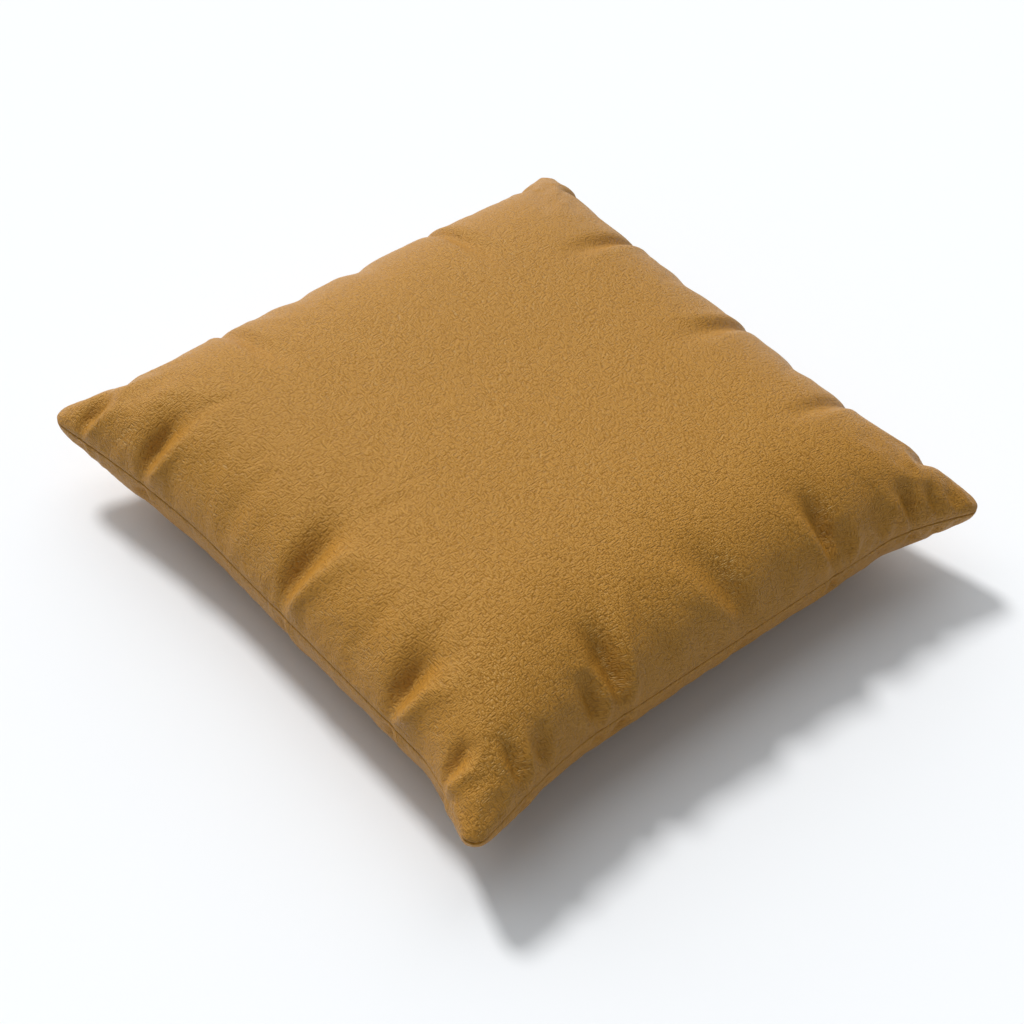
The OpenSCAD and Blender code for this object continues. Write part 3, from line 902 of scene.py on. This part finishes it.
coil = dict(pitch=0.0012, radius=0.00023, reach=0.0006)
for up, name in ((1, "upper"), (-1, "lower")):
    coilLow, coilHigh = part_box("zip_coil_" + name)
    back = max(abs(coilLow.z - seamZ), abs(coilHigh.z - seamZ))
    turns = round((coilHigh.x - coilLow.x) / coil["pitch"]) - 2
    angle = np.linspace(0, 2 * math.pi * turns, turns * 16 + 1)
    halfTall = (back + coil["reach"]) / 2 - coil["radius"]
    halfDeep = (coilHigh.y - coilLow.y) / 2 - coil["radius"]
    x = coilLow.x + coil["pitch"] * (1 + (0 if up > 0 else 0.5) + angle / (2 * math.pi))
    y = (coilLow.y + coilHigh.y) / 2 + halfDeep * np.cos(angle)
    z = seamZ + up * ((back - coil["reach"]) / 2 + halfTall * np.sin(angle))
    threadPiece("zipCoil" + name.capitalize(), [np.column_stack([x, y, z])], coil["radius"], nylonPaint,
                "zip_coil_" + name)

# the tapes and the metal pieces keep the shape they are made in
carried = dict(zip_tape_upper=tapePaint, zip_tape_lower=tapePaint, zip_top_stops=metalPaint,
               zip_bottom_stop=metalPaint, zip_slider=metalPaint, zip_pull=metalPaint)
for name, paint in carried.items():
    shade(frame["nodes"][name], paint)
    if paint is metalPaint:
        worn = frame["nodes"][name].modifiers.new("wornEdges", "BEVEL")
        worn.width = 0.00012
        worn.segments = 2
        worn.limit_method = "ANGLE"
        worn.angle_limit = math.radians(40)
print("the zip is fitted")

# ---- the insert ----

insert = dict(inset=0.017, thickness=0.0005, allowance=0.006, fold=0.0006, back=0.0012, clear=0.0004,
              stitchInset=0.0024, rounds=3)


def treeOf(grid, up):
    count = grid.shape[0]
    return BVHTree.FromPolygons(grid.reshape(-1, 3).tolist(), gridFaces(count, count, up < 0))


def keptInside(grid, tree, gap):
    # moves what is nearer than gap to the cloth outside it, or through it, back inside. A sharp hollow
    # takes more than one round
    for _ in range(insert["rounds"]):
        for place in np.ndindex(grid.shape[:2]):
            point = Vector(grid[place])
            near, normal, _, _ = tree.find_nearest(point)
            depth = (near - point).dot(normal)
            if depth < gap:
                grid[place] = point - normal * (gap - depth)
    return grid


def nested(outer, up, inset, under, foot):
    # the next layer in: the same cloth shape, smaller in plan and lower by its cloth
    grid = outer.copy()
    grid[..., :2] *= 1 - inset / halfMiddle
    rise = np.abs(grid[..., 2] - seamHeight[up])
    edge = form["fold"] + form["hair"] + zipped[up] * (form["lipGap"] - form["hair"])
    full = form["crownRise"] if up > 0 else seamZ
    rise = foot + np.maximum(rise - edge, 0) * (full - under - foot) / (full - edge)
    grid[..., 2] = seamHeight[up] + up * rise
    return grid


insertGrid = {}
insertFoot = insert["fold"] + form["hair"]
inwardCover = form["thickness"] + insert["clear"]
for up in (1, -1):
    insertGrid[up] = nested(cushion[up], up, insert["inset"], inwardCover, insertFoot)
    insertGrid[up] = keptInside(insertGrid[up], treeOf(cushion[up], up), inwardCover)
    if up < 0:
        insertGrid[up][..., 2] = np.maximum(insertGrid[up][..., 2], inwardCover)
insertLoop = np.array([insertGrid[1][place] for place in loop])
for place in loop:  # both panels meet in one line
    insertGrid[-1][place][:2] = insertGrid[1][place][:2]
    insertGrid[1][place][2] = seamHeight[1][place] + insertFoot
    insertGrid[-1][place][2] = seamHeight[1][place] - insertFoot
flatHair = np.full(len(loop), form["hair"])
insertRings = edgeRings(insert["fold"], flatHair, flatHair, insert["back"], insert["allowance"])
for up, name, node in ((1, "insertTop", "insert_top_panel"), (-1, "insertBottom", "insert_bottom_panel")):
    panel = panelPiece(name, insertGrid[up], up, seamHeight[1], insertRings, insertPaint,
                       insert["thickness"])
    finishPiece(panel, "cover", [node])

insertSeamTop = form["hair"] + insert["thickness"] + stitch["radius"] * stitch["above"]
paths = []
for side in ("front", "right", "rear", "left"):
    at, length = seamStretch(insertLoop, loopSeam, side, *wholeSide[0], insert["stitchInset"])
    for up in (1, -1):
        paths.append(stitchLine(at, length, up * insertSeamTop, stitch["insertPitch"], stitch["radius"]))
threadPiece("insertSeamThread", paths, stitch["radius"], insertThreadPaint, "insert_seam_thread")
print("the insert is built")

# ---- the filling ----

filling = dict(inset=0.025, thin=2, lump=0.030, depth=0.004, tuft=0.009, tuftDepth=0.0014)


def fillingPiece():
    every = slice(None, None, filling["thin"])
    inside = {}
    for up in (1, -1):
        under = inwardCover + insert["thickness"] + insert["clear"]
        grid = nested(cushion[up], up, filling["inset"], under, 0.0)[every, every]
        normal = gridNormals(grid, up)
        move = -filling["depth"] * (0.5 + 0.5 * lumps(grid, filling["lump"], 21.3))
        move -= filling["tuftDepth"] * (0.5 + 0.5 * lumps(grid, filling["tuft"], 5.7))
        grid = grid + normal * move[..., None]
        inside[up] = keptInside(grid, treeOf(insertGrid[up], up), insert["thickness"] + insert["clear"])
        if up < 0:
            inside[up][..., 2] = np.maximum(inside[up][..., 2], under)
    count = inside[1].shape[0]
    edge = {place: place[0] * count + place[1] for place in loopOf(count)}
    for place in edge:
        inside[1][place] = (inside[1][place] + inside[-1][place]) / 2
    points = inside[1].reshape(-1, 3).tolist()
    index = {}
    for place in np.ndindex(count, count):
        if place in edge:
            index[place] = edge[place]
        else:
            index[place] = len(points)
            points.append(tuple(inside[-1][place]))
    faces = gridFaces(count, count)
    for face in gridFaces(count, count, True):
        faces.append([index[divmod(i, count)] for i in face])
    piece = newPiece("fibreFill", points, faces, fibrePaint)
    finer = piece.modifiers.new("finer", "SUBSURF")
    finer.levels = finer.render_levels = 1
    return piece


fibreFill = fillingPiece()
finishPiece(fibreFill, "cover", ["fibre_fill"])
print("the filling is built")

# ---- labels ----

bend = 0.0014  # the radius at which a ribbon turns down from its seam
labels = [
    dict(name="careLabel", node="care_label", thickness=0.0004, wave=0.0007, seed=1.3, on="overlockSides"),
    dict(name="insertLabel", node="insert_label", thickness=0.0003, wave=0.0004, seed=8.9,
         on="insertSeamThread"),
]
for label in labels:
    low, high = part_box(label["node"])
    inward = 1 if low.x < 0 else -1  # towards the cushion's middle
    outerX, innerX = (low.x, high.x) if inward > 0 else (high.x, low.x)
    flatRun = abs(innerX - outerX) - bend - label["thickness"] / 2
    drop = high.z - low.z - bend - label["thickness"] / 2
    quarter = [(outerX + inward * (flatRun + bend * math.sin(a)), high.z - label["thickness"] / 2
                - bend * (1 - math.cos(a))) for a in np.linspace(0, math.pi / 2, 6)]
    run = [(outerX + inward * flatRun * t, high.z - label["thickness"] / 2) for t in (0.0, 0.3, 0.6, 0.85)]
    run += quarter
    run += [(quarter[-1][0], quarter[-1][1] - drop * t) for t in np.linspace(0.05, 1, 20)]
    run = np.array(run)
    length = np.concatenate([[0], np.cumsum(np.linalg.norm(np.diff(run, axis=0), axis=1))])
    points, cloth = [], []
    across = np.linspace(low.y, high.y, 16)
    for (x, z), far in zip(run, length):
        hang = smooth((far - flatRun) / (length[-1] - flatRun))
        for y in across:
            ripple = noise.noise(Vector((y * 90, far * 60, label["seed"])))
            ripple += 0.6 * math.sin(y * 210 + far * 60)
            points.append((x + label["wave"] * hang * ripple, y, z))
            cloth.append((y, far, 0.0))
    faces = gridFaces(len(run), len(across), inward > 0)
    piece = newPiece(label["name"], points, faces, labelPaint, cloth=cloth)
    thick = piece.modifiers.new("ribbonThickness", "SOLIDIFY")
    thick.thickness = label["thickness"]
    thick.offset = 0
    finishPiece(piece, "cover", [label["node"]])
print("the labels are sewn in")

# ---- floor ----


def makeFloor():
    size, gap = 6, 0.0003
    corners = [(-size, -size, 0), (size, -size, 0), (size, size, 0), (-size, size, 0)]
    floor = newPiece("floor", corners, [[0, 1, 2, 3]], floorPaint, smoothed=False)
    floor.location.z = -gap


makeFloor()
